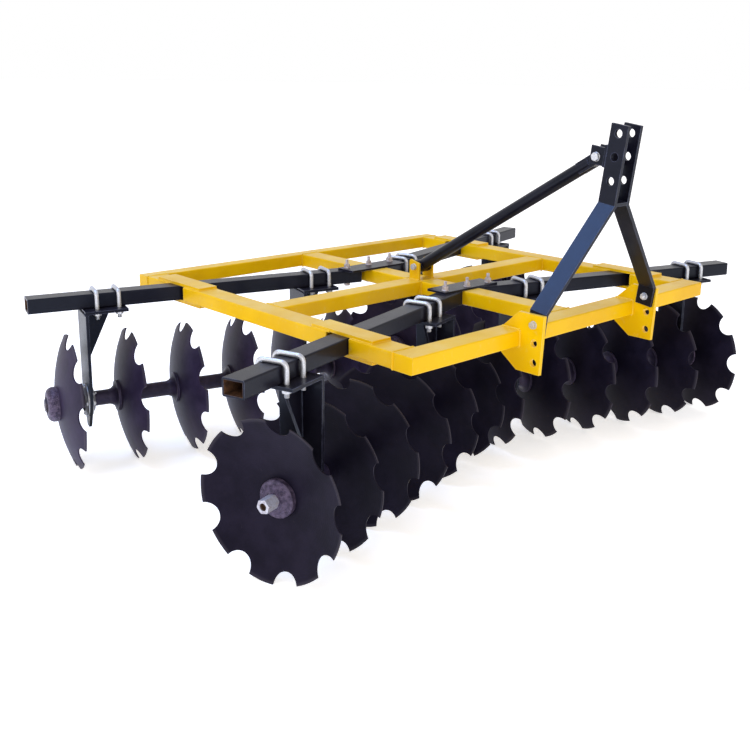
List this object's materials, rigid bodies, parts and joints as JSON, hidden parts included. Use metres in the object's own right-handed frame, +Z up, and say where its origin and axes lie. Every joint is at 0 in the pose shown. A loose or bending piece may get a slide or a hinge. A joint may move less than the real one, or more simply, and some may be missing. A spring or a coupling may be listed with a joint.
{
  "type": "disc harrow",
  "caption": "Mounted opposed disc harrow: yellow tube frame, bent-bar hitch mast with a brace, and angled gangs of notched dished discs turning in hung bearings.",
  "frame": {"origin": "on the floor under the middle of the object's box", "axes": "+X to the machine's right, +Y forward towards the tractor, +Z up; the floor is z = 0"},
  "size_m": [2.4394, 1.6816, 1.2075],
  "materials": {
    "yellow_paint": "gloss golden yellow paint",
    "black_paint": "gloss black paint",
    "disc_paint": "satin blue-black paint",
    "black_casting": "painted casting",
    "zinc": "bright zinc plate"
  },
  "bodies": {
    "frame": {"front_rail": "yellow_paint", "rear_rail": "yellow_paint", "middle_rail": "yellow_paint", "centre_rails": "yellow_paint", "side_rail_right": "yellow_paint", "side_rail_left": "yellow_paint", "slot_plates_right": "yellow_paint", "slot_plates_left": "yellow_paint", "joint_plates": "black_paint", "joint_studs": "zinc", "hitch_plate_right": "yellow_paint", "hitch_plate_left": "yellow_paint", "brace_lugs": "yellow_paint", "mast_leg_right": "black_paint", "mast_leg_left": "black_paint", "mast_bracket": "black_paint", "mast_brace": "black_paint", "mast_bolts": "zinc", "beam_front_right": "black_paint", "beam_front_left": "black_paint", "beam_rear_right": "black_paint", "beam_rear_left": "black_paint", "hangers_front_right": "black_paint", "hangers_front_left": "black_paint", "hangers_rear_right": "black_paint", "hangers_rear_left": "black_paint", "u_bolts_front_right": "zinc", "u_bolts_front_left": "zinc", "u_bolts_rear_right": "zinc", "u_bolts_rear_left": "zinc", "bearings_front_right": "zinc", "bearings_front_left": "zinc", "bearings_rear_right": "zinc", "bearings_rear_left": "zinc"},
    "gang_front_right": {"axle_front_right": "black_paint", "discs_front_right": "disc_paint", "spools_front_right": "black_casting"},
    "gang_front_left": {"axle_front_left": "black_paint", "discs_front_left": "disc_paint", "spools_front_left": "black_casting"},
    "gang_rear_right": {"axle_rear_right": "black_paint", "discs_rear_right": "disc_paint", "spools_rear_right": "black_casting"},
    "gang_rear_left": {"axle_rear_left": "black_paint", "discs_rear_left": "disc_paint", "spools_rear_left": "black_casting"}
  },
  "joints": [
    {"name": "gang_front_right_spin", "type": "hinge", "parent": "frame", "child": "gang_front_right", "pos_m": [0, 0.16208, 0.23], "axis": [-0.9563, -0.2924, 0], "continuous": true},
    {"name": "gang_front_left_spin", "type": "hinge", "parent": "frame", "child": "gang_front_left", "pos_m": [0, 0.16208, 0.23], "axis": [-0.9563, 0.2924, 0], "continuous": true},
    {"name": "gang_rear_right_spin", "type": "hinge", "parent": "frame", "child": "gang_rear_right", "pos_m": [0, -0.32492, 0.23], "axis": [-0.9659, 0.2588, 0], "continuous": true},
    {"name": "gang_rear_left_spin", "type": "hinge", "parent": "frame", "child": "gang_rear_left", "pos_m": [0, -0.32492, 0.23], "axis": [-0.9659, -0.2588, 0], "continuous": true}
  ]
}
